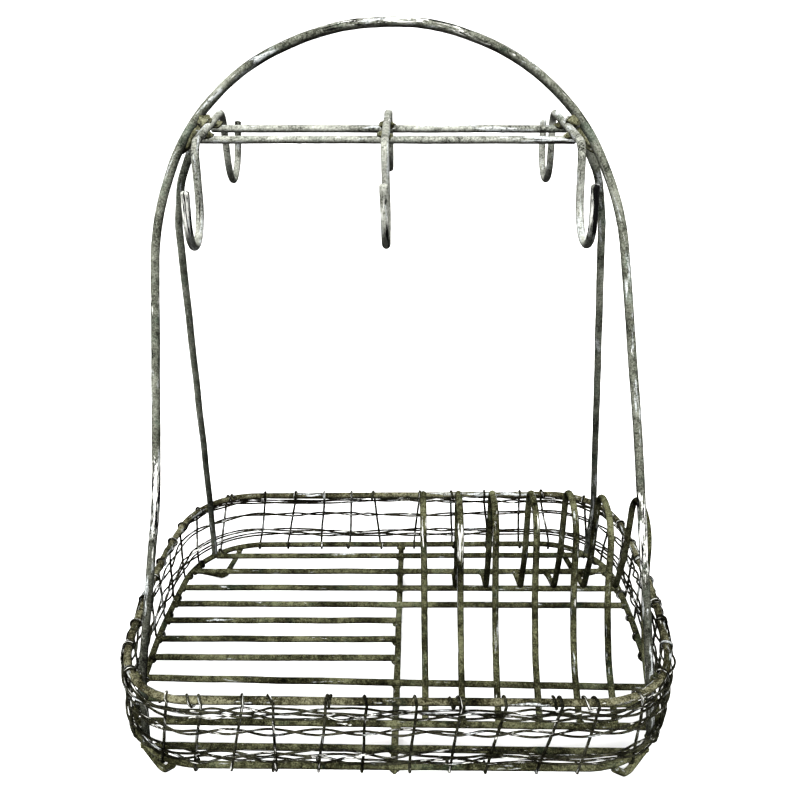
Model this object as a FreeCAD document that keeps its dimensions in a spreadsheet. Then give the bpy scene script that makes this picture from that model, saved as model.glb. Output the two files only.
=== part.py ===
import FreeCAD, Part
import Sketcher
import math
import os

from FreeCAD import Placement, Rotation, Vector

# Wire drainer for plates and mugs: a tray of welded rods inside a woven wire wall, seven plate
# dividers, and an arched carrying handle that holds two bars with three double mug hooks.
#
# Shapes are drawn in tray axes: X to the right, Y to the back, Z up, with the middle of the bottom
# ring at the origin. Every sub-part then carries the same placement, which lifts the ring to its
# height above the table and centres the whole outline on the part's origin.

doc = FreeCAD.newDocument("plate_drainer")
sheet = doc.addObject("Spreadsheet::Sheet", "Dims")

DRIVING_SIZES = (
    ("ring_wire", 6.0, "diameter of the bottom ring"),
    ("rim_wire", 6.3, "diameter of the top rim"),
    ("rod_wire", 6.0, "diameter of floor rods and centre bar"),
    ("divider_wire", 5.8, "diameter of plate dividers"),
    ("arch_wire", 6.8, "diameter of the arched handle"),
    ("leg_wire", 6.2, "diameter of the rear legs"),
    ("hook_wire", 5.6, "diameter of hooks and hook bars"),
    ("foot_wire", 5.8, "diameter of the feet"),
    ("stay_wire", 2.1, "diameter of the wall's upright stays"),
    ("strand_wire", 1.6, "diameter of the woven strands"),
    ("ring_half_width", 224.5, "bottom ring, half width at the corners"),
    ("ring_half_depth", 150.5, "bottom ring, half depth"),
    ("ring_corner", 71.7, "bottom ring, corner radius"),
    ("ring_bow", 3.9, "bulge of the ring's short sides"),
    ("rim_rise", 65.9, "ring centre to rim centre"),
    ("rim_half_width", 223.1, "top rim, half width at the corners"),
    ("rim_half_depth", 147.9, "top rim, half depth"),
    ("rim_corner", 66.6, "top rim, corner radius"),
    ("rim_bow", 5.1, "bulge of the rim's short sides"),
    ("rim_shift", 2.7, "the rim sits this far to the right of the ring"),
    ("rod_pitch", 26.0, "floor rod spacing"),
    ("rod_inset", 23.0, "ring's rear side to the first floor rod"),
    ("centre_bar_place", 2.4, "centre bar, right of the middle"),
    ("divider_first", 28.0, "first plate divider, right of the middle"),
    ("divider_pitch", 31.4, "plate divider spacing"),
    ("divider_height", 154.5, "ring plane to the top of a divider"),
    ("divider_crown", 28.0, "bend radius at the top of a divider"),
    ("crown_radius", 175.0, "radius of the arched handle"),
    ("crown_across", 3.8, "handle arc centre, right of the middle"),
    ("crown_centre", 361.6, "handle arc centre, above the ring plane"),
    ("crown_turns", 8, "equal bends that make the handle's arc"),
    ("junction_height", 460.0, "where the front and rear legs meet"),
    ("hook_centre", 4.8, "middle hook, right of the middle"),
    ("hook_left", -123.0, "left hook"),
    ("hook_right", 133.0, "right hook"),
    ("hook_top", 468.3, "ring plane to the top run of the hooks"),
    ("hook_half_run", 62.5, "half the hook's top run"),
    ("hook_gap", 47.0, "inside and outside legs of one hook, centre to centre"),
    ("hook_drop", 59.0, "top run to the bottom of a hook"),
    ("hook_tip_drop", 18.0, "top run to the tip of a hook"),
    ("hook_bar_spacing", 40.0, "hook bars, centre to centre"),
    ("hook_pitch", 2.5, "degrees the hooks tip up at the back"),
    ("hook_roll", 1.4, "degrees the hooks and bars fall to the right"),
    ("foot_drop", 20.0, "ring plane to the centre of a foot's tip"),
    ("ring_height", "=foot_drop + foot_wire / 2", "table to the centre of the bottom ring"),
    ("plan_shift", -1.29, "moves the outline's centre to the origin"),
)


size_names = []


def add_size(alias, value, note):
    """One row of the sheet: what the size is, and its value under an alias."""
    size_names.append(alias)
    row = len(size_names)
    sheet.set(f"A{row}", note)
    sheet.set(f"B{row}", str(value))
    sheet.setAlias(f"B{row}", alias)


for alias, value, note in DRIVING_SIZES:
    add_size(alias, value, note)
doc.recompute()


def size(alias):
    """The sheet's value in millimetres or degrees."""
    return float(sheet.get(alias))


sub_parts = []


def keep(sub_part, label):
    """Names a sub-part and gives it the placement that all sub-parts share."""
    sub_part.Label = label
    sub_part.setExpression("Placement.Base.x", "Dims.plan_shift")
    sub_part.setExpression("Placement.Base.z", "Dims.ring_height")
    sub_parts.append(sub_part)


# ---------------------------------------------------------------- wire shapes


def bent_path(points, radii):
    """Straight runs joined by tangent arcs, with one radius for each inner point."""
    shortest_run = 0.01
    edges = []
    cursor = points[0]
    for corner, following, radius in zip(points[1:-1], points[2:], radii):
        arriving = (corner - cursor).normalize()
        leaving = (following - corner).normalize()
        turn = arriving.getAngle(leaving)
        setback = radius * math.tan(turn / 2)
        arc_start = corner - arriving * setback
        arc_end = corner + leaving * setback
        inward = (leaving - arriving).normalize()
        arc_middle = corner + inward * (radius / math.cos(turn / 2) - radius)
        if (arc_start - cursor).Length > shortest_run:
            edges.append(Part.LineSegment(cursor, arc_start).toShape())
        edges.append(Part.Arc(arc_start, arc_middle, arc_end).toShape())
        cursor = arc_end
    edges.append(Part.LineSegment(cursor, points[-1]).toShape())
    return Part.Wire(edges)


def easy_radius(before, corner, after, fill):
    """Radius of a bend that takes up a share of half the shorter run beside its corner."""
    turn = (corner - before).getAngle(after - corner)
    half_run = min((corner - before).Length, (after - corner).Length) / 2
    return fill * half_run / math.tan(turn / 2)


def path_start(path):
    """First point of a path and the direction it leaves in."""
    edge = path.OrderedEdges[0]
    parameter = edge.FirstParameter if edge.Orientation == "Forward" else edge.LastParameter
    direction = edge.tangentAt(parameter)
    if edge.Orientation != "Forward":
        direction = -direction
    return edge.valueAt(parameter), direction


def swept_wire(label, path, diameter_alias):
    """A round wire along a path, as a sweep whose section is bound to the sheet."""
    spine = doc.addObject("Part::Feature", label + "_path")
    spine.Shape = path
    point, direction = path_start(path)
    section = doc.addObject("Part::Circle", label + "_section")
    section.setExpression("Radius", f"Dims.{diameter_alias} / 2")
    section.Placement = Placement(point, Rotation(Vector(0, 0, 1), direction))
    sweep = doc.addObject("Part::Sweep", label)
    sweep.Sections = [section]
    sweep.Spine = (spine, [f"Edge{number + 1}" for number in range(len(path.Edges))])
    sweep.Solid = True
    sweep.Frenet = False
    keep(sweep, label)


def straight_wire(label, side_view, axis_role, start, length, diameter_alias, skew=0.0):
    """A straight rod: a padded circle whose radius and length are bound to the sheet.

    side_view is where the rod's centre appears on its end plane, start is how far along the plane's
    normal the rod begins, and skew is how many degrees it strays from that normal.
    """
    add_size(label + "_length", round(length, 2), "worked out: length of " + label)
    doc.recompute()
    body = doc.addObject("PartDesign::Body", label)
    plane = next(feature for feature in body.Origin.OriginFeatures if feature.Role == axis_role)
    sketch = body.newObject("Sketcher::SketchObject", label + "_section")
    sketch.AttachmentSupport = [(plane, "")]
    sketch.MapMode = "FlatFace"
    place = Vector(side_view[0], side_view[1], start)
    sketch.AttachmentOffset = Placement(place, Rotation(Vector(0, 1, 0), skew))
    sketch.addGeometry(Part.Circle(Vector(0, 0, 0), Vector(0, 0, 1), size(diameter_alias) / 2))
    sketch.addConstraint(Sketcher.Constraint("Coincident", 0, 3, -1, 1))
    sketch.addConstraint(Sketcher.Constraint("Radius", 0, size(diameter_alias) / 2))
    sketch.setExpression("Constraints[1]", f"Dims.{diameter_alias} / 2")
    pad = body.newObject("PartDesign::Pad", label + "_pad")
    pad.Profile = sketch
    pad.setExpression("Length", f"Dims.{label}_length")
    keep(body, label)


def tube(path, radius):
    """A round wire along a path as one solid, for wires that come in groups."""
    point, direction = path_start(path)
    return path.makePipeShell([Part.Wire([Part.makeCircle(radius, point, direction)])], True, False)


def wire_group(label, solids):
    """Many small wires of one kind in one sub-part, each a separate solid."""
    group = doc.addObject("Part::Feature", label)
    group.Shape = Part.makeCompound(solids)
    keep(group, label)


# ---------------------------------------------------------------- tray outline


class TrayOutline:
    """Rounded rectangle with bulging short sides, all of tangent arcs and lines."""

    def __init__(self, height, outward=0.0):
        """The wall's outline at a height above the ring, moved outward by a distance."""
        share = height / size("rim_rise")

        def between(part):
            return size("ring_" + part) * (1 - share) + size("rim_" + part) * share

        self.height = height
        self.shift = size("rim_shift") * share
        self.half_width = between("half_width") + outward
        self.half_depth = between("half_depth") + outward
        self.corner = between("corner") + outward
        self.bow = between("bow")
        self.corner_x = self.half_width - self.corner
        self.corner_y = self.half_depth - self.corner
        inset = (self.corner_y**2 - self.bow**2) / (2 * self.bow)
        self.side_centre = self.corner_x - inset
        self.side_radius = inset + self.bow + self.corner
        self.side_angle = math.atan2(self.corner_y, inset)

    def at(self, x, y):
        return Vector(x + self.shift, y, self.height)

    def path(self):
        """The closed outline, from the front end of the right side, anticlockwise."""
        side_x = self.side_centre + self.side_radius * math.cos(self.side_angle)
        side_y = self.side_radius * math.sin(self.side_angle)
        half_turn = (self.side_angle + math.pi / 2) / 2
        bend_x = self.corner_x + self.corner * math.cos(half_turn)
        bend_y = self.corner_y + self.corner * math.sin(half_turn)
        edges = []
        for sign in (1, -1):
            points = [
                self.at(sign * x, sign * y)
                for x, y in (
                    (side_x, -side_y),
                    (self.half_width + self.bow, 0),
                    (side_x, side_y),
                    (bend_x, bend_y),
                    (self.corner_x, self.half_depth),
                    (-self.corner_x, self.half_depth),
                    (-bend_x, bend_y),
                    (-side_x, side_y),
                )
            ]
            edges.append(Part.Arc(*points[0:3]).toShape())
            edges.append(Part.Arc(*points[2:5]).toShape())
            edges.append(Part.LineSegment(points[4], points[5]).toShape())
            edges.append(Part.Arc(*points[5:8]).toShape())
        return Part.Wire(edges)

    def on_long_side(self, x, sign):
        """Point and outward normal of the front (-1) or rear (+1) side at a place across."""
        beyond = max(0.0, abs(x) - self.corner_x) / self.corner
        rise = math.sqrt(1 - beyond**2)
        point = self.at(x, sign * (self.corner_y + self.corner * rise))
        return point, Vector(math.copysign(beyond, x), sign * rise, 0)

    def on_short_side(self, y, sign):
        """Point and outward normal of the left (-1) or right (+1) side at a place in depth."""
        if abs(y) < self.side_radius * math.sin(self.side_angle):
            rise = math.sqrt(1 - (y / self.side_radius) ** 2)
            across = self.side_centre + self.side_radius * rise
            normal = Vector(sign * rise, y / self.side_radius, 0)
        else:
            beyond = (abs(y) - self.corner_y) / self.corner
            rise = math.sqrt(1 - beyond**2)
            across = self.corner_x + self.corner * rise
            normal = Vector(sign * rise, math.copysign(beyond, y), 0)
        return self.at(sign * across, y), normal

    def on_corner(self, degrees, inward=0.0):
        """Point at an angle round the corner that the angle falls in, moved inward."""
        turn = math.radians(degrees)
        reach = self.corner - inward
        x = math.copysign(self.corner_x, math.cos(turn)) + reach * math.cos(turn)
        y = math.copysign(self.corner_y, math.sin(turn)) + reach * math.sin(turn)
        return self.at(x, y)


ring = TrayOutline(0)
rim = TrayOutline(size("rim_rise"))

# ---------------------------------------------------------------- tray: ring, rim, floor

swept_wire("bottom_ring", ring.path(), "ring_wire")
swept_wire("top_rim", rim.path(), "rim_wire")

# The rods were laid by hand, so each strays a little from its pitch.
ROD_DRIFT = (1.8, 0.6, -0.8, -1.1, -0.3, -1.1, -0.4, -0.8, 0.6, 0.8, 0.8)
# How far the right end of each rod lies in front of its left end.
ROD_SKEW = (0.0, 1.5, 2.5, 2.5, 0.0, 0.0, 0.0, 9.0, 4.0, 3.0, 3.0)
# These rods stop at the centre bar and leave a well under the plates.
SHORT_RODS = (5, 6, 7)
# Wires that are welded end on, and wires that only lie on each other, stay this far apart.
WELD_GAP = 0.3
TOUCH_GAP = 0.1


def rod_place(number, x):
    """Depth of a floor rod, counted from the back, at a place across."""
    first = size("ring_half_depth") - size("rod_inset")
    at_left = first - size("rod_pitch") * (number - 1) + ROD_DRIFT[number - 1]
    share = (x + size("ring_half_width")) / (2 * size("ring_half_width"))
    return at_left - ROD_SKEW[number - 1] * share


def ring_face(y, sign):
    """Where a rod at this depth ends so that its whole face clears the ring."""
    point, normal = ring.on_short_side(y, sign)
    slope = abs(normal.y / normal.x)
    clear = size("ring_wire") / 2 / abs(normal.x) + size("rod_wire") / 2 * slope + WELD_GAP
    return point.x - sign * clear


bar_left = size("centre_bar_place") - size("rod_wire") / 2
bar_drop = size("rod_wire")
for number in range(1, len(ROD_DRIFT) + 1):
    y_left = rod_place(number, -size("ring_half_width"))
    y_right = rod_place(number, size("ring_half_width"))
    left = ring_face(y_left, -1)
    right = bar_left - WELD_GAP if number in SHORT_RODS else ring_face(y_right, 1)
    skew = math.atan2(y_right - y_left, 2 * size("ring_half_width"))
    straight_wire(
        f"floor_rod_{number:02d}",
        (rod_place(number, left), 0),
        "YZ_Plane",
        left,
        (right - left) / math.cos(skew),
        "rod_wire",
        math.degrees(skew),
    )

# The centre bar runs under the long rods, from the ring's front side to its rear side.
bar_reach = size("ring_half_depth") - size("ring_wire") / 2 - WELD_GAP
straight_wire(
    "centre_bar",
    (size("centre_bar_place"), -bar_drop),
    "XZ_Plane",
    -bar_reach,
    2 * bar_reach,
    "rod_wire",
)

# ---------------------------------------------------------------- plate dividers

# Sideways drift of each divider and how much lower than the first it is, and the bends in side
# view: how far behind the middle rod, how high, and the bend's radius. The top two bends come from
# the sheet.
DIVIDER_DRIFT = (0.0, 0.0, -1.4, 1.4, 3.0, 1.0, 1.0)
DIVIDER_SAG = (0.0, 0.0, 0.0, 0.0, 0.0, 5.0, 8.0)
DIVIDER_FRONT_BEND = (-65.0, 27.0, 55.0)
DIVIDER_FRONT_KNEE = (-39.0, 78.0, 120.0)
DIVIDER_REAR_KNEE = (33.0, 70.0, 120.0)
DIVIDER_REAR_BEND = (53.5, 18.0, 12.0)
# The two top bends are a little tighter than the crown, so that they don't quite meet.
DIVIDER_CROWN_FILL = 0.97


def divider_path(x, sag):
    """A tall bell in side view, from rod 10 up over the plates' edge and down to rod 2."""
    reach = size("rod_wire") / 2 + WELD_GAP
    crown = size("divider_crown")
    top = size("divider_height") - sag
    middle = (DIVIDER_FRONT_KNEE[0] + DIVIDER_REAR_KNEE[0]) / 2
    bends = (
        DIVIDER_FRONT_BEND,
        DIVIDER_FRONT_KNEE,
        (middle - crown, top, DIVIDER_CROWN_FILL * crown),
        (middle + crown, top, DIVIDER_CROWN_FILL * crown),
        DIVIDER_REAR_KNEE,
        DIVIDER_REAR_BEND,
    )
    points = [Vector(x, rod_place(10, x) + reach, 0)]
    points += [Vector(x, y, z) for y, z, _ in bends]
    points.append(Vector(x, rod_place(2, x) - reach, 0))
    return bent_path(points, [radius for _, _, radius in bends])


for number, (drift, sag) in enumerate(zip(DIVIDER_DRIFT, DIVIDER_SAG), start=1):
    x = size("divider_first") + size("divider_pitch") * (number - 1) + drift
    swept_wire(f"plate_divider_{number}", divider_path(x, sag), "divider_wire")

# ---------------------------------------------------------------- handle and legs

# Where each leg stands on the ring and passes the rim, in degrees round the tray's corner.
LEG_CORNERS = {
    "front_left": (226.5, 220.5),
    "front_right": (324.0, 318.3),
    "rear_left": (134.0, 137.0),
    "rear_right": (45.5, 41.5),
}
CROWN_START = 176.5
CROWN_END = 4.9
# How far outside its circle the handle's arc was bent, at each of its turns from the left.
CROWN_BULGE = (-1.0, 2.8, 1.2, -0.6, 0.0, 0.5, 0.4, -2.0)
# Share of the run between two turns that the bends take up.
CROWN_FILL = 0.9
# Each front leg has a slight knee, given across and up.
LEFT_KNEE = (-178.7, 208.0)
RIGHT_KNEE = (189.5, 250.0)
RIM_BEND = 90.0
KNEE_BEND = 600.0


def leg_foot(corner, wire_alias):
    """A leg's two lowest points: on top of the ring, and tangent inside the rim."""
    on_ring, past_rim = LEG_CORNERS[corner]
    foot = ring.on_corner(on_ring)
    foot.z = size("ring_wire") / 2 + WELD_GAP
    inside = (size("rim_wire") + size(wire_alias)) / 2 + WELD_GAP
    return foot, rim.on_corner(past_rim, inside)


def lean(z, passing):
    """Depth of a leg at a height: it leans in from the rim to the junction at the middle."""
    climb = (z - passing.z) / (size("junction_height") - passing.z)
    return passing.y * max(0.0, 1 - climb)


def crown_bends(left_passing, right_passing):
    """Bends of the handle's arc, worked out as a polygon round its circle."""
    turns = int(size("crown_turns"))
    step = (CROWN_START - CROWN_END) / turns
    reach = size("crown_radius") / math.cos(math.radians(step / 2))
    bends = []
    for index in range(turns):
        angle = math.radians(CROWN_START - step * (index + 0.5))
        x = size("crown_across") + (reach + CROWN_BULGE[index]) * math.cos(angle)
        z = size("crown_centre") + (reach + CROWN_BULGE[index]) * math.sin(angle)
        passing = left_passing if index < turns / 2 else right_passing
        bends.append(Vector(x, lean(z, passing), z))
    return bends


def handle_path():
    """Front left leg, the arc over the top and the front right leg, all one wire."""
    left_foot, left_passing = leg_foot("front_left", "arch_wire")
    right_foot, right_passing = leg_foot("front_right", "arch_wire")
    knees = [
        Vector(x, lean(z, passing), z)
        for (x, z), passing in ((LEFT_KNEE, left_passing), (RIGHT_KNEE, right_passing))
    ]
    crown = [knees[0], *crown_bends(left_passing, right_passing), knees[1]]
    crown_radii = [easy_radius(*crown[turn : turn + 3], CROWN_FILL) for turn in range(len(crown) - 2)]
    points = [left_foot, left_passing, *crown, right_passing, right_foot]
    return bent_path(points, [RIM_BEND, KNEE_BEND, *crown_radii, KNEE_BEND, RIM_BEND])


swept_wire("arch_handle", handle_path(), "arch_wire")

# Bends near the top of each rear leg, across and up, where it curves in to meet the handle.
REAR_LEG_TOPS = {
    "rear_left": ((-162.0, 395.0), (-152.5, 430.0), (-136.0, 462.0)),
    "rear_right": ((168.5, 390.0), (161.0, 427.0), (146.5, 455.0)),
}
REAR_LEG_TOP_BEND = 70.0
# The rear legs end just behind and inside the handle's wire.
REAR_LEG_SETBACK = 3.5


def rear_leg_path(corner):
    foot, passing = leg_foot(corner, "leg_wire")
    top = [Vector(x, lean(z, passing) + REAR_LEG_SETBACK, z) for x, z in REAR_LEG_TOPS[corner]]
    radii = [RIM_BEND, REAR_LEG_TOP_BEND, REAR_LEG_TOP_BEND]
    return bent_path([foot, passing, *top], radii)


swept_wire("rear_leg_left", rear_leg_path("rear_left"), "leg_wire")
swept_wire("rear_leg_right", rear_leg_path("rear_right"), "leg_wire")

# ---------------------------------------------------------------- mug hooks and their bars


def hook_point(x, y, drop):
    """A point of the hook frame, which tips up at the back and falls to the right."""
    pitch = math.radians(size("hook_pitch"))
    roll = math.radians(size("hook_roll"))
    depth = y * math.cos(pitch) + drop * math.sin(pitch)
    rise = y * math.sin(pitch) - drop * math.cos(pitch)
    fall = (x - size("hook_centre")) * math.tan(roll)
    return Vector(x, depth, size("hook_top") + rise - fall)


HOOK_SHOULDER = 11.0
# Bend radius of a hook's round bottom, as a share of the gap between its legs.
HOOK_CUP = 0.49


# The hooks were bent by hand. For each: how far its rear is twisted to the left, then for the front
# and the rear end how much deeper the round bottom hangs, how much deeper the tip, and how far the
# bottom and the tip stray to the right.
HOOKS = {
    "left": (3.6, (2.0, 2.5, -2.5, 0.0), (0.0, -1.0, 0.0, 4.5)),
    "centre": (0.9, (0.0, -2.5, 0.0, 0.0), (-10.0, -10.0, 0.0, 0.0)),
    "right": (0.9, (-1.0, -2.5, 1.0, 0.0), (-1.5, -2.0, 0.0, 0.0)),
}


def hook_path(side):
    """A double hook: tip, round bottom, up, over both bars and the same again behind."""
    twist, *ends = HOOKS[side]
    run = size("hook_half_run")
    out = run + size("hook_gap")
    halves = []
    for sign, (deeper_bottom, deeper_tip, stray_bottom, stray_tip) in zip((-1, 1), ends):
        bottom = size("hook_drop") + deeper_bottom
        outline = (
            (out, size("hook_tip_drop") + deeper_tip, stray_tip),
            (out, bottom, stray_bottom),
            (run, bottom, stray_bottom),
            (run, 0, 0),
        )
        halves.append([
            hook_point(size("hook_" + side) + stray - sign * twist * y / run, sign * y, drop)
            for y, drop, stray in outline
        ])
    front, rear = halves
    cup = HOOK_CUP * size("hook_gap")
    return bent_path(front + rear[::-1], [cup, cup, HOOK_SHOULDER, HOOK_SHOULDER, cup, cup])


for side in HOOKS:
    swept_wire("mug_hook_" + side, hook_path(side), "hook_wire")

BAR_OVERHANG = 2.5
for side, sign in (("front", -1), ("rear", 1)):
    y = sign * size("hook_bar_spacing") / 2
    drop = size("hook_wire") + TOUCH_GAP
    left_end = hook_point(size("hook_left") - BAR_OVERHANG, y, drop)
    right_end = hook_point(size("hook_right") + BAR_OVERHANG, y, drop)
    bar = Part.Wire([Part.LineSegment(left_end, right_end).toShape()])
    swept_wire("hook_bar_" + side, bar, "hook_wire")

# ---------------------------------------------------------------- feet

# Each foot is a V of wire under a corner: the middle of its span round the ring's corner, half
# the span, both in degrees, and how far inside the ring its tip stands.
FEET = {
    "foot_rear_left": (132.5, 21.0, 12.0),
    "foot_rear_right": (47.5, 21.0, 12.0),
    "foot_front_left": (237.0, 13.0, 3.0),
    "foot_front_right": (303.0, 13.0, 3.0),
}
FOOT_BEND = 4.0
FOOT_FLAT = 3.0
for label, (middle, half_span, inward) in FEET.items():
    ends = [ring.on_corner(middle + turn) for turn in (-half_span, half_span)]
    for end in ends:
        end.z = -(size("ring_wire") + size("foot_wire")) / 2
    tip = ring.on_corner(middle, inward)
    tip.z = -size("foot_drop")
    half_flat = (ends[1] - ends[0]).normalize() * FOOT_FLAT
    points = [ends[0], tip - half_flat, tip + half_flat, ends[1]]
    swept_wire(label, bent_path(points, [FOOT_BEND, FOOT_BEND]), "foot_wire")

# ---------------------------------------------------------------- woven wall

# Places of the upright stays: where each stands on the ring and where it meets the rim, across
# for the long sides and in depth for the short ones. They lean, because they were tied by hand.
STAYS = {
    "front": (
        (-184, -174), (-157, -147), (-126, -114), (-90, -90), (-57, -50), (-22, -18),
        (14, 18), (47, 52), (75, 86), (114, 128), (146, 157), (190, 189),
    ),
    "rear": (
        (-195, -186), (-156, -146), (-125, -112), (-86, -82), (-55, -53), (-21, -29),
        (17, 23), (58, 54), (96, 91), (132, 128), (165, 151), (201, 193),
    ),
    "left": (
        (-118, -115), (-88, -86), (-55, -59), (-30, -26), (2, 4), (31, 28), (60, 63), (92, 90),
        (116, 118),
    ),
    "right": (
        (-116, -118), (-90, -86), (-61, -58), (-28, -31), (-3, 1), (29, 32), (62, 58), (88, 91),
        (117, 115),
    ),
}
WALL_SIGN = {"front": -1, "rear": 1, "left": -1, "right": 1}
# A stay's end bends as shares of its reach round the ring or rim: the bend's radius, and how far
# its cut end stands from the ring's or rim's level.
STAY_BEND = 0.95
STAY_TAIL = 0.5


def stay_path(wall, place_below, place_above):
    """Under the ring from inside, up the outside, and over the rim to the inside."""
    ends = []
    for outline, place, wire_alias in (
        (ring, place_below, "ring_wire"),
        (rim, place_above, "rim_wire"),
    ):
        finder = outline.on_long_side if wall in ("front", "rear") else outline.on_short_side
        point, normal = finder(place, WALL_SIGN[wall])
        reach = (size(wire_alias) + size("stay_wire")) / 2 + TOUCH_GAP
        ends.append((point, normal * reach, Vector(0, 0, reach)))
    (low, low_out, low_up), (high, high_out, high_up) = ends
    points = [
        low - low_out + low_up * STAY_TAIL,
        low - low_out - low_up,
        low + low_out - low_up,
        high + high_out + high_up,
        high - high_out + high_up,
        high - high_out - high_up * STAY_TAIL,
    ]
    bend = STAY_BEND * low_up.z
    return bent_path(points, [bend] * 4)


for wall, places in STAYS.items():
    stays = [tube(stay_path(wall, *pair), size("stay_wire") / 2) for pair in places]
    wire_group("wall_stays_" + wall, stays)

# Heights of the woven strands above the ring. At each height one strand runs outside the stays
# and one inside them.
STRAND_HEIGHTS = (11.0, 17.0, 39.0, 55.0, 60.0)
strand_reach = (size("stay_wire") + size("strand_wire")) / 2 + TOUCH_GAP
# The rim is a little thicker than the ring, so the stays' line is taken a little further out.
STAY_LINE_EASE = 0.05
stay_line = (size("ring_wire") + size("stay_wire")) / 2 + TOUCH_GAP + STAY_LINE_EASE
for number, height in enumerate(STRAND_HEIGHTS, start=1):
    for side, sign in (("inner", -1), ("outer", 1)):
        outline = TrayOutline(height, stay_line + sign * strand_reach)
        swept_wire(f"strand_{number}_{side}", outline.path(), "strand_wire")

# ---------------------------------------------------------------- check and write

doc.recompute()
for item in doc.Objects:
    if "Invalid" in item.State or "Error" in item.State:
        raise RuntimeError(f"{item.Label} failed: {item.State}")

os.makedirs("parts", exist_ok=True)
whole = FreeCAD.BoundBox()
for sub_part in sub_parts:
    shape = sub_part.Shape
    if shape.isNull() or not shape.isValid() or shape.Volume <= 0:
        raise RuntimeError(f"{sub_part.Label} has no valid solid")
    shape.exportStep(f"parts/{sub_part.Label}.step")
    whole.add(shape.BoundBox)
    print(f"{sub_part.Label}: {len(shape.Solids)} solid(s), {shape.Volume:.0f} mm3")
print(f"{len(sub_parts)} sub-parts, X {whole.XMin:.2f} to {whole.XMax:.2f}, "
      f"Y {whole.YMin:.2f} to {whole.YMax:.2f}, Z {whole.ZMin:.2f} to {whole.ZMax:.2f}")
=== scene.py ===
import math

import bmesh
import bpy
import numpy as np
from mathutils import Matrix, Vector
from mathutils.kdtree import KDTree


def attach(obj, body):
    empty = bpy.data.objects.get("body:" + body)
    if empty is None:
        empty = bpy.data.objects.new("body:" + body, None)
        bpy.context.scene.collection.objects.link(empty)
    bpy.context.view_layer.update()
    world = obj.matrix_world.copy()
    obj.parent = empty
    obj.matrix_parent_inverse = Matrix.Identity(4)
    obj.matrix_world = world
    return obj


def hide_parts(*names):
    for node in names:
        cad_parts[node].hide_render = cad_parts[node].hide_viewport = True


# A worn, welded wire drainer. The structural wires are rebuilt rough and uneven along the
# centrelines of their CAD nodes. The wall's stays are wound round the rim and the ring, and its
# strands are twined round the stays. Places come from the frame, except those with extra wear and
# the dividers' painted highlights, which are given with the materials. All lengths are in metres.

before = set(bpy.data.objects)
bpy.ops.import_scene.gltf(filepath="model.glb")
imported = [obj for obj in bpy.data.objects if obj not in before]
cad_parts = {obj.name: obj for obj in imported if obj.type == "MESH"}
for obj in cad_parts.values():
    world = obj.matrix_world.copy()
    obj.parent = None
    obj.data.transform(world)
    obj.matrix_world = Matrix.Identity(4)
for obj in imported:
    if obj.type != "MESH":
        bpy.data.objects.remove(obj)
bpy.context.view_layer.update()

MM = 0.001

# Diameter of the wire that each family of nodes is made of.
WIRE_DIAMETERS = {
    "bottom_ring": 6.0 * MM,
    "top_rim": 6.3 * MM,
    "floor_rod": 6.0 * MM,
    "centre_bar": 6.0 * MM,
    "plate_divider": 5.8 * MM,
    "arch_handle": 6.8 * MM,
    "rear_leg": 6.2 * MM,
    "mug_hook": 5.6 * MM,
    "hook_bar": 5.6 * MM,
    "foot": 5.8 * MM,
    "wall_stays": 2.1 * MM,
    "strand": 1.6 * MM,
}
CLOSED_WIRES = ("bottom_ring", "top_rim", "strand")


def wire_radius(node):
    """Radius of the wire that a CAD node is made of."""
    return next(size for family, size in WIRE_DIAMETERS.items() if node.startswith(family)) / 2


def unit(vectors):
    """Vectors scaled to length one."""
    return vectors / np.linalg.norm(vectors, axis=-1, keepdims=True)


# ---------------------------------------------------------------- centrelines of the CAD wires

# A wire's end is a flat disc, whose facets all have the disc's centre for their circumcentre.
DISC_FACETS = 6
# Circumcentres are compared after rounding to 0.1 mm, from three starts, in millimetres, so that a
# disc's facets fall together in at least one of them.
ROUNDING_STARTS = (0.0, 0.035, 0.070)
# A facet whose sides span less than this, in square metres, has no sure direction.
SLIVER = 1e-14
# Corners that agree to this many decimals of a metre are one corner.
SAME_CORNER_DIGITS = 6
# Corners of one ring, stepped inward, land within this share of the wire's radius.
RING_REACH = 0.25
# Marks closer than the radius divided by this are thinned out.
MARKS_PER_RADIUS = 3
# A gap this many times longer than the one beside it is a straight run.
STRAIGHT_RUN = 3


def circumcentres(first, second, third):
    """Centre of the circle through the corners of each triangle."""
    one = second - first
    other = third - first
    normal = np.cross(one, other)
    rise = np.cross(normal, one) * (other**2).sum(axis=1, keepdims=True)
    rise += np.cross(other, normal) * (one**2).sum(axis=1, keepdims=True)
    return first + rise / (2 * (normal**2).sum(axis=1, keepdims=True))


def side_facets(node):
    """A CAD wire's corners, and the triangles and normals of its round side without its ends."""
    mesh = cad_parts[node].data
    places = np.empty(3 * len(mesh.vertices))
    mesh.vertices.foreach_get("co", places)
    places = places.reshape(-1, 3)
    corners = np.empty(3 * len(mesh.polygons), int)
    mesh.polygons.foreach_get("vertices", corners)
    corners = corners.reshape(-1, 3)
    first, second, third = (places[corners[:, column]] for column in range(3))
    normals = np.cross(second - first, third - first)
    sound = np.linalg.norm(normals, axis=1) > SLIVER
    corners = corners[sound]
    normals = unit(normals[sound])
    centres = circumcentres(first[sound], second[sound], third[sound]) / MM
    in_disc = np.zeros(len(corners), bool)
    for start in ROUNDING_STARTS:
        _, group, count = np.unique(
            (centres + start).round(1), axis=0, return_inverse=True, return_counts=True
        )
        in_disc |= count[group.reshape(-1)] > DISC_FACETS
    points, same = np.unique(places.round(SAME_CORNER_DIGITS), axis=0, return_inverse=True)
    return points, same.reshape(-1)[corners[~in_disc]], normals[~in_disc]


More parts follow.
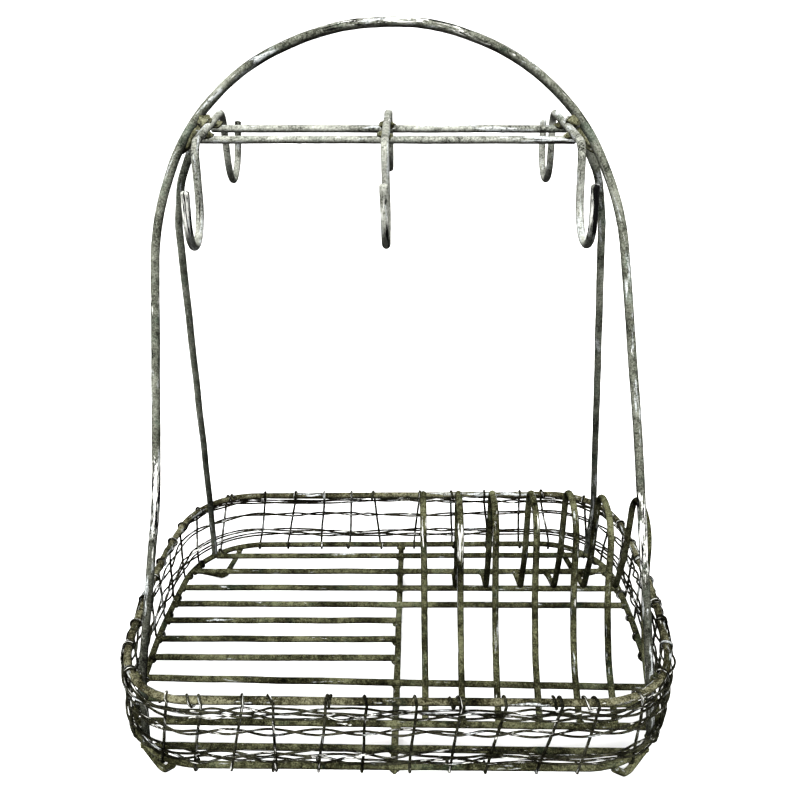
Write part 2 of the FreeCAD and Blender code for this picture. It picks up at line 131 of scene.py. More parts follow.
def centre_marks(node):
    """Points on a CAD wire's centreline, and for each the marks that the mesh joins it to.

    A side corner stepped inward along its normal by the wire's radius lands on the centreline, and
    the corners of one ring land together.
    """
    radius = wire_radius(node)
    points, triangles, normals = side_facets(node)
    outward = np.zeros_like(points)
    for column in range(3):
        np.add.at(outward, triangles[:, column], normals)
    used = np.linalg.norm(outward, axis=1) > 0
    centres = points.copy()
    centres[used] -= radius * unit(outward[used])
    tree = KDTree(int(used.sum()))
    for index in np.flatnonzero(used):
        tree.insert(centres[index], int(index))
    tree.balance()
    reach_in_ring = radius * RING_REACH
    owner = np.full(len(points), -1)
    marks = []
    for index in np.flatnonzero(used):
        if owner[index] < 0:
            found = [near for _, near, _ in tree.find_range(centres[index], reach_in_ring)]
            ring = [near for near in found if owner[near] < 0]
            owner[ring] = len(marks)
            marks.append(centres[ring].mean(axis=0))
    joined = [set() for _ in marks]
    for one, other in ((0, 1), (1, 2), (2, 0)):
        for a, b in zip(owner[triangles[:, one]], owner[triangles[:, other]]):
            if a != b:
                joined[a].add(b)
                joined[b].add(a)
    return np.array(marks), joined


def reach(joined, start):
    """Every mark that the mesh joins to this one, the furthest last."""
    order = [start]
    seen = {start}
    for here in order:
        fresh = sorted(joined[here] - seen)
        seen.update(fresh)
        order.extend(fresh)
    return order


def walk(marks, joined, start):
    """The marks in order along the wire, from this one."""
    order = [start]
    seen = {start}
    while True:
        here = marks[order[-1]]
        ahead = sorted(joined[order[-1]] - seen)
        if not ahead:
            break
        nearest = min(ahead, key=lambda mark: np.linalg.norm(marks[mark] - here))
        order.append(nearest)
        seen.add(nearest)
    return marks[order]


def thin_out(line, gap):
    """Leaves out marks that nearly fall on the one before."""
    kept = [line[0]]
    for point in line[1:]:
        if np.linalg.norm(point - kept[-1]) > gap:
            kept.append(point)
    return np.array(kept)


def smooth_line(knots, closed, step):
    """Even points on a curve through the knots, which is straight where they are far apart."""
    if closed:
        knots = np.vstack([knots, knots[:1]])
    chords = np.diff(knots, axis=0)
    gaps = np.linalg.norm(chords, axis=1)
    ways = unit(chords)
    if closed:
        before, after = np.vstack([ways[-1:], ways]), np.vstack([ways, ways[:1]])
        gap_before, gap_after = np.r_[gaps[-1], gaps], np.r_[gaps, gaps[0]]
    else:
        before, after = np.vstack([ways[:1], ways]), np.vstack([ways, ways[-1:]])
        gap_before, gap_after = np.r_[gaps[0], gaps], np.r_[gaps, gaps[-1]]
    tangents = unit(before * gap_after[:, None] + after * gap_before[:, None])
    run_before = gap_before > STRAIGHT_RUN * gap_after
    run_after = gap_after > STRAIGHT_RUN * gap_before
    tangents[run_before] = before[run_before]
    tangents[run_after] = after[run_after]
    pieces = []
    for index, gap in enumerate(gaps):
        count = max(1, round(gap / step))
        t = (np.arange(count) / count)[:, None]
        pieces.append(
            knots[index] * (1 + 2 * t) * (1 - t) ** 2
            + knots[index + 1] * t**2 * (3 - 2 * t)
            + gap * t * (1 - t) ** 2 * tangents[index]
            - gap * t**2 * (1 - t) * tangents[index + 1]
        )
    if not closed:
        pieces.append(knots[-1:])
    return np.vstack(pieces)


def centrelines(node, step):
    """The centreline of each wire in a CAD node."""
    marks, joined = centre_marks(node)
    closed = node.startswith(CLOSED_WIRES)
    lines = []
    left = set(range(len(marks)))
    while left:
        group = reach(joined, min(left))
        left -= set(group)
        if len(group) > 1:
            line = walk(marks, joined, group[-1])
            line = thin_out(line, wire_radius(node) / MARKS_PER_RADIUS)
            lines.append(smooth_line(line, closed, step))
    return lines


WIRE_STEP = 2.0 * MM
structure = [name for name in sorted(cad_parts) if not name.startswith(("wall", "strand"))]
lines = {name: centrelines(name, WIRE_STEP)[0] for name in structure}

# ---------------------------------------------------------------- rough wire surfaces


def ripple(points, shortest, longest, seed, waves=28):
    """A smooth random value near -1 to 1 at each point, from waves of these lengths."""
    rng = np.random.default_rng(seed)
    ways = unit(rng.normal(size=(waves, 3)))
    lengths = np.exp(rng.uniform(math.log(shortest), math.log(longest), waves))
    phases = rng.uniform(0, 2 * math.pi, waves)
    turns = points @ (ways * (2 * math.pi / lengths)[:, None]).T + phases
    return np.cos(turns).sum(axis=-1) * math.sqrt(2 / waves) / 2


def ease(values, low, high):
    """Zero below low, one above high, and smooth between."""
    share = np.clip((values - low) / (high - low), 0, 1)
    return share * share * (3 - 2 * share)


# A line whose sideways part is shorter than this starts out nearly upright.
NEARLY_UPRIGHT = 0.1


def line_frames(line, closed):
    """At each point of a line: the way it runs and two directions across it, without twist."""
    if closed:
        ways = unit(np.roll(line, -1, axis=0) - np.roll(line, 1, axis=0))
    else:
        ways = unit(np.gradient(line, axis=0))
    across = np.empty_like(line)
    start = np.cross(ways[0], (0.0, 0.0, 1.0))
    if np.linalg.norm(start) < NEARLY_UPRIGHT:
        start = np.cross(ways[0], (1.0, 0.0, 0.0))
    across[0] = unit(start)
    for index in range(1, len(line)):
        carried = across[index - 1] - ways[index] * (across[index - 1] @ ways[index])
        across[index] = unit(carried)
    if closed:
        carried = unit(across[-1] - ways[0] * (across[-1] @ ways[0]))
        gap = math.atan2(np.cross(carried, across[0]) @ ways[0], carried @ across[0])
        turn = (gap * np.arange(len(line)) / len(line))[:, None]
        across = across * np.cos(turn) + np.cross(ways, across) * np.sin(turn)
    return ways, across, np.cross(ways, across)


# The shortest and longest waves that shape a wire's course and its skin.
COURSE_WAVES = (30 * MM, 120 * MM)
LUMP_WAVES = (4 * MM, 11 * MM)
SWELL_WAVES = (14 * MM, 60 * MM)
DRIP_WAVES = (5 * MM, 11 * MM)
# The long swells are this much lower than the lumps.
SWELL_SHARE = 0.6
# Where a ripple starts to count as a drip, and where the drip is full.
DRIP_LEVELS = (1.1, 1.7)
# Each wire starts at its own place in the streaks: metres to a step, and how many steps there are.
STREAK_STEP = 0.37
STREAK_STEPS = 101


def skin_swell(skin, lump, drips, seed):
    """How far a wire's skin stands out at each point, in wire radii."""
    swell = lump * ripple(skin, *LUMP_WAVES, seed + 3)
    swell += lump * SWELL_SHARE * ripple(skin, *SWELL_WAVES, seed + 4)
    swell += drips * ease(ripple(skin, *DRIP_WAVES, seed + 5), *DRIP_LEVELS)
    return swell


def wire_coordinates(line, radius, angles, seed):
    """For each corner, how far along the wire it is and where it is across the wire."""
    steps = np.linalg.norm(np.diff(line, axis=0), axis=1)
    run = np.r_[0, np.cumsum(steps)] + STREAK_STEP * (seed % STREAK_STEPS)
    corners = (len(line), len(angles))
    return np.stack(
        [
            np.broadcast_to(run[:, None], corners),
            np.broadcast_to(radius * np.cos(angles), corners),
            np.broadcast_to(radius * np.sin(angles), corners),
        ],
        axis=2,
    )


def tube_faces(rings, sides, closed):
    """Corner numbers of the faces between the rings of a tube."""
    rows = np.arange(rings if closed else rings - 1)[:, None]
    columns = np.arange(sides)[None, :]
    following = (rows + 1) % rings
    beside = (columns + 1) % sides
    quads = np.stack(
        [
            rows * sides + columns,
            following * sides + columns,
            following * sides + beside,
            rows * sides + beside,
        ],
        axis=2,
    )
    return quads.reshape(-1, 4)[:, ::-1]


# How a wire's end is rounded off: how far past the last ring, and how wide, in wire radii.
END_ROUNDING = ((0.22, 0.93), (0.38, 0.70), (0.45, 0.35))
# How far the middle of the end stands past the last of these.
TIP_RISE = 0.03
NO_FACES = np.empty((0, 4), int)
# A bead's lumps and grit: how deep, as a share of its size, and their shortest and longest waves.
BEAD_LUMPS = (0.16, 3 * MM, 8 * MM)
BEAD_GRIT = (0.05, 1.2 * MM, 2.5 * MM)
# Radius of the ball on which these waves are laid.
BEAD_RADIUS = 5 * MM


class RoughShape:
    """Collects tubes and weld beads into one mesh, with the coordinates that materials need."""

    def __init__(self, seed):
        self.seed = seed
        self.points = []
        self.along = []
        self.faces = []
        self.count = 0

    def add(self, points, along, faces):
        self.points.append(points)
        self.along.append(along)
        self.faces.extend((np.asarray(faces) + self.count).tolist())
        self.count += len(points)

    def add_fan(self, ring, tip):
        """Closes a ring of corner numbers onto one corner."""
        following = np.roll(ring, -1)
        self.faces.extend([int(a), int(b), tip] for a, b in zip(ring, following))

    def tube(self, line, radius, sides, lump, closed=False, drips=0.0, wobble=0.0):
        """A round wire along a line, with lumps, drips and a waver in its course."""
        seed = self.seed + self.count
        if wobble:
            line = line + wobble * np.stack(
                [ripple(line, *COURSE_WAVES, seed + axis) for axis in range(3)], axis=1
            )
        ways, across, over = line_frames(line, closed)
        angles = 2 * math.pi * np.arange(sides) / sides
        outward = (
            np.cos(angles)[None, :, None] * across[:, None, :]
            + np.sin(angles)[None, :, None] * over[:, None, :]
        )
        even_skin = line[:, None, :] + radius * outward
        distances = radius * (1 + skin_swell(even_skin, lump, drips, seed))
        skin = line[:, None, :] + distances[..., None] * outward
        along = wire_coordinates(line, radius, angles, seed)
        first = self.count
        self.add(skin.reshape(-1, 3), along.reshape(-1, 3), tube_faces(len(line), sides, closed))
        if not closed:
            last = first + (len(line) - 1) * sides
            self.round_end(first + np.arange(sides)[::-1], line[0], -ways[0], radius)
            self.round_end(last + np.arange(sides), line[-1], ways[-1], radius)

    def round_end(self, ring, centre, way, radius):
        """Closes a wire's end with a slightly domed cut."""
        points = np.vstack(self.points)[ring]
        along = np.vstack(self.along)[ring]
        sides = len(ring)
        inner = np.asarray(ring)
        for ahead, width in END_ROUNDING:
            fresh = centre + (points - centre) * width + way * radius * ahead
            base = self.count
            self.add(fresh, along, NO_FACES)
            outer = inner
            inner = base + np.arange(sides)
            for index in range(sides):
                beside = (index + 1) % sides
                self.faces.append(
                    [int(outer[index]), int(outer[beside]), int(inner[beside]), int(inner[index])]
                )
        tip = centre + way * radius * (END_ROUNDING[-1][0] + TIP_RISE)
        number = self.count
        self.add(tip[None, :], along[:1], NO_FACES)
        self.add_fan(inner, number)

    def bead(self, centre, axes, sizes):
        """A lump of weld metal: a ball stretched along three axes, with an uneven skin."""
        seed = self.seed + self.count
        places = BALL_POINTS * BEAD_RADIUS + centre
        rough = np.ones(len(places))
        for number, (depth, shortest, longest) in enumerate((BEAD_LUMPS, BEAD_GRIT)):
            rough += depth * ripple(places, shortest, longest, seed + number)
        local = BALL_POINTS * rough[:, None] * np.asarray(sizes)
        points = centre + local @ np.asarray(axes)
        self.add(points, local + centre, BALL_FACES)

    def build(self, name, nodes, material):
        """Makes the piece, which stands for its CAD nodes and moves with the frame."""
        mesh = bpy.data.meshes.new(name)
        mesh.from_pydata(np.vstack(self.points).tolist(), [], self.faces)
        attribute = mesh.attributes.new("along", "FLOAT_VECTOR", "POINT")
        attribute.data.foreach_set("vector", np.vstack(self.along).astype(np.float32).ravel())
        mesh.shade_smooth()
        mesh.materials.append(material)
        piece = bpy.data.objects.new(name, mesh)
        bpy.context.scene.collection.objects.link(piece)
        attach(piece, "root")
        if nodes:
            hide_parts(*nodes)
        return piece


def unit_ball():
    """Corners and triangles of a fine ball of radius one."""
    ball = bmesh.new()
    bmesh.ops.create_icosphere(ball, subdivisions=4, radius=1.0)
    points = np.array([vertex.co[:] for vertex in ball.verts])
    faces = np.array([[vertex.index for vertex in face.verts] for face in ball.faces])
    ball.free()
    return points, faces


BALL_POINTS, BALL_FACES = unit_ball()

# ---------------------------------------------------------------- materials


class Shader:
    """Short ways to add the nodes of one material."""

    def __init__(self, name):
        self.material = bpy.data.materials.new(name)
        self.material.use_nodes = True
        self.tree = self.material.node_tree
        self.surface = self.tree.nodes["Principled BSDF"]

    def node(self, kind, **settings):
        made = self.tree.nodes.new(kind)
        for setting, value in settings.items():
            setattr(made, setting, value)
        return made

    def feed(self, socket, value):
        """Joins a socket to another node's output, or sets its number."""
        if isinstance(value, bpy.types.NodeSocket):
            self.tree.links.new(value, socket)
        else:
            socket.default_value = value

    def noise(self, place, scale, detail=4.0, roughness=0.55, distortion=0.0):
        made = self.node("ShaderNodeTexNoise")
        self.feed(made.inputs["Vector"], place)
        made.inputs["Scale"].default_value = scale
        made.inputs["Detail"].default_value = detail
        made.inputs["Roughness"].default_value = roughness
        made.inputs["Distortion"].default_value = distortion
        return made.outputs["Fac"]

    def stretched(self, place, factors):
        """Coordinates scaled differently along each axis."""
        made = self.node("ShaderNodeVectorMath", operation="MULTIPLY")
        self.feed(made.inputs[0], place)
        made.inputs[1].default_value = factors
        return made.outputs[0]

    def maths(self, operation, first, second=0.0):
        made = self.node("ShaderNodeMath", operation=operation)
        self.feed(made.inputs[0], first)
        self.feed(made.inputs[1], second)
        return made.outputs[0]

    def dot(self, first, second):
        made = self.node("ShaderNodeVectorMath", operation="DOT_PRODUCT")
        self.feed(made.inputs[0], first)
        made.inputs[1].default_value = second
        return made.outputs["Value"]

    def weighted(self, *parts):
        """The sum of several values, each times its weight."""
        total = self.maths("MULTIPLY", *parts[0])
        for value, weight in parts[1:]:
            total = self.maths("ADD", total, self.maths("MULTIPLY", value, weight))
        return total

    def above(self, value, level, softness):
        """One where a value is over a level, with a soft edge."""
        return self.window(value, level, level + softness)

    def near(self, place, centre, radius, amount):
        """An amount that is full in the inner third of a radius and fades out at it."""
        made = self.node("ShaderNodeVectorMath", operation="DISTANCE")
        self.feed(made.inputs[0], place)
        made.inputs[1].default_value = centre
        return self.window(made.outputs["Value"], radius / 3, radius, amount, 0.0)

    def grey(self, value):
        """A number as a grey colour."""
        made = self.node("ShaderNodeCombineColor")
        for channel in made.inputs:
            self.feed(channel, value)
        return made.outputs["Color"]

    def window(self, value, low, high, floor=0.0, ceiling=1.0):
        """Floor below low, ceiling above high, and smooth between."""
        made = self.node("ShaderNodeMapRange", interpolation_type="SMOOTHSTEP")
        self.feed(made.inputs["Value"], value)
        made.inputs["From Min"].default_value = low
        made.inputs["From Max"].default_value = high
        made.inputs["To Min"].default_value = floor
        made.inputs["To Max"].default_value = ceiling
        return made.outputs["Result"]

    def ramp(self, value, stops):
        made = self.node("ShaderNodeValToRGB")
        self.feed(made.inputs["Fac"], value)
        elements = made.color_ramp.elements
        while len(elements) < len(stops):
            elements.new(1.0)
        for element, (position, colour) in zip(elements, stops):
            element.position = position
            element.color = (*colour, 1.0)
        return made.outputs["Color"]

    def mix(self, share, first, second, blend="MIX"):
        made = self.node("ShaderNodeMix", data_type="RGBA", blend_type=blend)
        self.feed(made.inputs["Factor"], share)
        for socket, value in ((made.inputs["A"], first), (made.inputs["B"], second)):
            colours = [s for s in made.inputs if s.name == socket.name and s.type == "RGBA"]
            if isinstance(value, tuple):
                value = (*value, 1.0)
            self.feed(colours[0], value)
        return next(s for s in made.outputs if s.type == "RGBA")

    def bump(self, height, strength, distance, below=None):
        made = self.node("ShaderNodeBump")
        self.feed(made.inputs["Height"], height)
        made.inputs["Strength"].default_value = strength
        made.inputs["Distance"].default_value = distance
        if below is not None:
            self.feed(made.inputs["Normal"], below)
        return made.outputs["Normal"]


# The colours of the wear. The pale crust, which lies mostly on the lit side, is partly a painted
# highlight.
VERDIGRIS = (0.036, 0.075, 0.052)
BARE_ZINC = (0.40, 0.42, 0.42)
PALE_CRUST_AND_HIGHLIGHT = (0.66, 0.66, 0.62)
BLACK_RUST = (0.004, 0.004, 0.004)

# Patches to a metre in the noises that are the same in all directions.
BROAD_SCALE = 30
VERDIGRIS_SCALE = 36
BLOTCH_SCALE = 190
GRAIN_SCALE = 760
# The same along and across the wire, in the noises that are drawn out along it.
STREAK_SCALES = (30.0, 190.0, 190.0)
FLAKE_SCALES = (46.0, 300.0, 300.0)
CHIP_SCALES = (26.0, 250.0, 250.0)

# The tone: how much the broad noise, the blotches and the grain count, and where on their sum the
# dark, middle and light tones lie.
TONE_WEIGHTS = (0.32, 0.24, 0.44)
TONE_STOPS = (0.405, 0.490, 0.600)
# Noise levels between which verdigris sets in.
VERDIGRIS_LEVELS = (0.56, 0.66)
# For each kind of wear, the noise level at which a share of 0 starts it, and how soft its edge is.
BARE_START, BARE_EDGE = 0.60, 0.08
CRUST_START, CRUST_EDGE = 0.66, 0.035
CHIP_START, CHIP_EDGE = 0.68, 0.02
# How much a share of 1 lowers that level, and how much a zone does for crust and for chips.
SHARE_REACH = 0.16
ZONE_CRUST = 0.16
ZONE_CHIPS = 0.17
# Bare zinc shows only where the grain is over these levels.
BARE_GRAIN = (0.34, 0.56)

# The lit side of a wire: up, and a little to the front, where the lamps are. The further a surface
# turns from it, the darker it is, which is painted shade, and the less pale crust it has, which
# makes
# the crust partly a painted highlight: turns from and to, then what is left at the first of them.
LIT_SIDE = (-0.08, -0.22, 0.97)
PAINTED_SHADE_TURNS, PAINTED_SHADE_KEEPS = (-0.45, 0.85), 0.07
CRUST_HIGHLIGHT_TURNS, CRUST_HIGHLIGHT_KEEPS = (-0.5, 0.4), 0.15
# Heights between which the wires that are darker near the tray get their full brightness.
DARK_HEIGHTS = (0.12, 0.34)

# Gloss: how metallic bare zinc is, roughness from coarse to fine grain, and how much smoother bare
# zinc is than the rest.
BARE_METAL = 0.45
GRAIN_LEVELS = (0.30, 0.70)
GRAIN_ROUGHNESS = (0.86, 0.62)
BARE_SMOOTHNESS = 0.22
# Relief of the blotches, of the grain and of crust and chips: strength and depth.
BLOTCH_RELIEF = (0.55, 0.5 * MM)
GRAIN_RELIEF = (0.85, 0.30 * MM)
FLAKE_RELIEF = (0.9, 0.14 * MM)


def patina(shader, place, blotch, grain, tones, verdigris, low):
    """The mottled colour under the other wear, darker near the tray and green in patches."""
    broad = shader.noise(place, BROAD_SCALE, detail=3, roughness=0.55)
    tone = shader.weighted(*zip((broad, blotch, grain), TONE_WEIGHTS))
    colour = shader.ramp(tone, tuple(zip(TONE_STOPS, tones)))
    height = shader.dot(place, (0.0, 0.0, 1.0))
    brightness = shader.window(height, *DARK_HEIGHTS, low, 1.0)
    colour = shader.mix(1.0, colour, shader.grey(brightness), "MULTIPLY")
    green = shader.noise(place, VERDIGRIS_SCALE, detail=4)
    green = shader.window(green, *VERDIGRIS_LEVELS, 0, verdigris)
    return shader.mix(green, colour, VERDIGRIS)


def bare_zinc(shader, along, grain, share):
    """Where long streaks of the zinc are rubbed bare."""
    streak = shader.noise(shader.stretched(along, STREAK_SCALES), 1.0, detail=5, roughness=0.6,
                          distortion=0.3)
    bare = shader.above(streak, BARE_START - SHARE_REACH * share, BARE_EDGE)
    return shader.maths("MULTIPLY", bare, shader.window(grain, *BARE_GRAIN))


def pale_crust_and_highlight(shader, along, lit_facing, extra, share):
    """Where pale crust lies, more of it on the lit side, so that it is partly a painted highlight.
    """
    flake = shader.noise(shader.stretched(along, FLAKE_SCALES), 1.0, detail=7, roughness=0.72,
                         distortion=0.7)
    lifted = shader.maths("ADD", flake, shader.maths("MULTIPLY", extra, ZONE_CRUST))
    crust_and_highlight = shader.above(lifted, CRUST_START - SHARE_REACH * share, CRUST_EDGE)
    lit_side_share = shader.window(lit_facing, *CRUST_HIGHLIGHT_TURNS, CRUST_HIGHLIGHT_KEEPS, 1.0)
    return shader.maths("MULTIPLY", crust_and_highlight, lit_side_share)


def black_chips(shader, along, extra, share):
    """Where the zinc is chipped through."""
    chipped = shader.noise(shader.stretched(along, CHIP_SCALES), 1.0, detail=6, roughness=0.7,
                           distortion=0.5)
    chipped = shader.maths("ADD", chipped, shader.maths("MULTIPLY", extra, ZONE_CHIPS))
    return shader.above(chipped, CHIP_START - SHARE_REACH * share, CHIP_EDGE)


def gloss(shader, bare, grain):
    """Bare zinc is more metallic and smoother than the rest."""
    shader.feed(shader.surface.inputs["Metallic"], shader.maths("MULTIPLY", bare, BARE_METAL))
    rough = shader.window(grain, *GRAIN_LEVELS, *GRAIN_ROUGHNESS)
    rough = shader.maths("SUBTRACT", rough, shader.maths("MULTIPLY", bare, BARE_SMOOTHNESS))
    shader.feed(shader.surface.inputs["Roughness"], rough)
    shader.surface.inputs["Specular IOR Level"].default_value = 0.0


def worn_wire(name, tones, pale, silver, chips, verdigris, zones=(), low=1.0):
    """Old galvanised wire: mottled patina, bare zinc, pale crust that is partly a painted highlight,
    black chips, and painted shade on the underside and on the sides turned from the light.

    tones are the patina's dark, middle and light colours. pale, silver and chips say how much of the
    surface takes crust, bare zinc and chips: 0 is a little, and less than 0 less still. verdigris is
    how green its patches are. zones are places with more chips and crust than elsewhere: each a
    centre, a reach and how much more. low is how much of its brightness the wire keeps near the
    tray.
    """
    shader = Shader(name)
    place = shader.node("ShaderNodeTexCoord").outputs["Object"]
    along = shader.node("ShaderNodeAttribute", attribute_name="along").outputs["Vector"]
    facing = shader.node("ShaderNodeNewGeometry").outputs["Normal"]
    lit_facing = shader.dot(facing, LIT_SIDE)
    blotch = shader.noise(place, BLOTCH_SCALE, detail=4, roughness=0.6)
    grain = shader.noise(place, GRAIN_SCALE, detail=5, roughness=0.75)
    extra = 0.0
    for centre, radius, amount in zones:
        extra = shader.maths("ADD", extra, shader.near(place, centre, radius, amount))

    colour = patina(shader, place, blotch, grain, tones, verdigris, low)
    bare = bare_zinc(shader, along, grain, silver)
    colour = shader.mix(bare, colour, BARE_ZINC)
    crust_and_highlight = pale_crust_and_highlight(shader, along, lit_facing, extra, pale)
    # Pale crust, partly a painted highlight: it lies mostly on the sides that face the light.
    colour = shader.mix(crust_and_highlight, colour, PALE_CRUST_AND_HIGHLIGHT)
    chip = black_chips(shader, along, extra, chips)
    colour = shader.mix(chip, colour, BLACK_RUST)
    # Painted shade: the colour darkens on the underside and on the sides turned from the light.
    painted_shade = shader.window(lit_facing, *PAINTED_SHADE_TURNS, PAINTED_SHADE_KEEPS, 1.0)
    colour = shader.mix(1.0, colour, shader.grey(painted_shade), "MULTIPLY")
    shader.feed(shader.surface.inputs["Base Color"], colour)

    gloss(shader, bare, grain)
    relief = shader.bump(blotch, *BLOTCH_RELIEF)
    relief = shader.bump(grain, *GRAIN_RELIEF, relief)
    relief = shader.bump(shader.maths("SUBTRACT", crust_and_highlight, chip), *FLAKE_RELIEF, relief)
    shader.feed(shader.surface.inputs["Normal"], relief)
    return shader.material


# The patinas' dark, middle and light tones.
OLIVE = ((0.0005, 0.0005, 0.0003), (0.0178, 0.0178, 0.0082), (0.099, 0.101, 0.056))
BARK = ((0.0005, 0.0005, 0.0003), (0.0215, 0.0200, 0.0098), (0.138, 0.134, 0.084))
STONE = ((0.0050, 0.0052, 0.0038), (0.062, 0.065, 0.050), (0.182, 0.188, 0.156))
SLATE = ((0.0090, 0.0096, 0.0070), (0.104, 0.111, 0.086), (0.262, 0.272, 0.226))
SILT = ((0.0100, 0.0102, 0.0080), (0.145, 0.149, 0.126), (0.330, 0.338, 0.300))
SOOT = ((0.0004, 0.0004, 0.0003), (0.0044, 0.0043, 0.0025), (0.037, 0.037, 0.024))
WELD = ((0.0060, 0.0058, 0.0026), (0.056, 0.056, 0.030), (0.160, 0.160, 0.104))

# Places with more wear than elsewhere, and on the dividers more painted highlight: centre, reach and
# how much more.
# The handle is chipped most on both front legs and the top of the arch.
HANDLE_CHIPS = (
    ((-0.181, -0.060, 0.225), 0.055, 1.0),
    ((0.190, -0.075, 0.195), 0.055, 0.9),
    ((0.020, 0.000, 0.560), 0.100, 0.6),
)
# Black chips and pale flecks on the front of the first five dividers' tops; the pale flecks are
# painted highlights.
DIVIDER_FLECKS_AND_HIGHLIGHTS = tuple(
    ((x, -0.033, 0.158), 0.032, amount)
    for x, amount in ((0.027, 0.60), (0.058, 0.70), (0.088, 0.45), (0.122, 0.45), (0.155, 0.35))
)
# The tips of the three front cups.
HOOK_CHIPS = (
    ((-0.125, -0.109, 0.455), 0.030, 0.9),
    ((0.133, -0.109, 0.455), 0.035, 0.9),
    ((0.004, -0.109, 0.450), 0.022, 0.4),
)

# Each finish: its tones, how much it takes of each kind of wear, and where it takes more.
FINISHES = {
    "basket_wire": dict(
        tones=OLIVE, pale=0.06, silver=-0.10, chips=0.02, verdigris=0.10, zones=DIVIDER_FLECKS_AND_HIGHLIGHTS
    ),
    "handle_wire": dict(
        tones=STONE, pale=0.24, silver=0.18, chips=0.28, verdigris=0.22, zones=HANDLE_CHIPS,
        low=0.45,
    ),
    "rim": dict(tones=BARK, pale=0.20, silver=0.08, chips=0.06, verdigris=0.05),
    "rear_leg": dict(tones=SLATE, pale=0.22, silver=0.12, chips=0.24, verdigris=0.25, low=0.52),
    "hook_wire": dict(
        tones=SILT, pale=0.24, silver=0.30, chips=0.28, verdigris=0.12, zones=HOOK_CHIPS
    ),
    "weld": dict(tones=WELD, pale=0.10, silver=0.05, chips=0.10, verdigris=0.0),
    "wall_wire": dict(tones=SOOT, pale=0.46, silver=0.05, chips=0.10, verdigris=0.0),
}
materials = {finish: worn_wire(finish + "_worn", **wear) for finish, wear in FINISHES.items()}


def slot_of(node):
    """The record's material slot of a CAD node."""
    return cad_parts[node].data.materials[0].name.split(".")[0]


def finish_of(node):
    """The finish of a CAD node: that of its slot, apart from the rim and the rear legs."""
    if node == "top_rim":
        return "rim"
    return "rear_leg" if node.startswith("rear_leg") else slot_of(node)


# ---------------------------------------------------------------- structural wires

STRUCTURE_SIDES = 16
STRUCTURE_LUMP = 0.018
STRUCTURE_DRIPS = 0.08
STRUCTURE_WOBBLE = 0.16 * MM
for number, name in enumerate(structure):
    shape = RoughShape(seed=1000 * number + 7)
    shape.tube(
        lines[name],
        wire_radius(name),
        STRUCTURE_SIDES,
        closed=name.startswith(CLOSED_WIRES),
        lump=STRUCTURE_LUMP,
        drips=STRUCTURE_DRIPS,
        wobble=STRUCTURE_WOBBLE,
    )
    shape.build(name + "_worn", [name], materials[finish_of(name)])

# ---------------------------------------------------------------- weld beads

# Above this cosine, the first wire runs straight at the second and ends on it.
END_ON = 0.7
# Half of a bead's length is at least this share of the stretch where its wires are in contact.
STRETCH_SHARE = 0.22
# Its half size from wire to wire is at least this share of the distance between their middles.
BRIDGE_SHARE = 0.45


def contacts(first, second, gap):
    """Where two wires come within a gap of each other: places on both, ways, and how long."""
    near = wire_radius(first) + wire_radius(second) + gap
    tree = KDTree(len(lines[second]))
    for index, point in enumerate(lines[second]):
        tree.insert(point, index)
    tree.balance()
    found = [tree.find(point) for point in lines[first]]
    distances = np.array([distance for _, _, distance in found])
    close = distances < near
    spots = []
    start = None
    for index in range(len(close) + 1):
        inside = index < len(close) and close[index]
        if inside and start is None:
            start = index
        if not inside and start is not None:
            best = start + int(np.argmin(distances[start:index]))
            length = (index - start) * WIRE_STEP
            way = unit(np.gradient(lines[first], axis=0)[best])
            spots.append((lines[first][best], np.array(found[best][0]), way, length))
            start = None
    return spots


def weld(shape, first, second, plump, gap=1.0 * MM):
    """Adds a bead at each contact of two wires, long where they run side by side.

    plump is the bead's half size from wire to wire, along the first wire and across it, in radii
    of the thinner wire.
    """
    small = min(wire_radius(first), wire_radius(second))
    for here, there, way, length in contacts(first, second, gap):
        joining = unit(there - here)
        share = wire_radius(first) / (wire_radius(first) + wire_radius(second))
        centre = here + (there - here) * share
        sizes = small * np.array(plump)
        if abs(joining @ way) > END_ON:
            side = unit(np.cross(joining, (0.0, 0.0, 1.0)))
        else:
            side = unit(way - joining * (way @ joining))
            sizes[1] = max(sizes[1], STRETCH_SHARE * length)
        sizes[0] = max(sizes[0], BRIDGE_SHARE * np.linalg.norm(there - here))
        shape.bead(centre, np.array([joining, side, np.cross(joining, side)]), sizes)


def weld_group(name, finish, joints, seed, **settings):
    """One piece with the beads of many pairs of wires."""
    shape = RoughShape(seed)
    for first, second in joints:
        weld(shape, first, second, **settings)
    shape.build(name, [], materials[finish])


rods = [name for name in structure if name.startswith("floor_rod")]
dividers = [name for name in structure if name.startswith("plate_divider")]
hooks = [name for name in structure if name.startswith("mug_hook")]
bars = [name for name in structure if name.startswith("hook_bar")]
feet = [name for name in structure if name.startswith("foot")]
rear_legs = ["rear_leg_left", "rear_leg_right"]
legs = ["arch_handle", *rear_legs]


def pairs(firsts, seconds):
    """Every pair of a wire from one list and a wire from the other."""
    return [(first, second) for first in firsts for second in seconds]


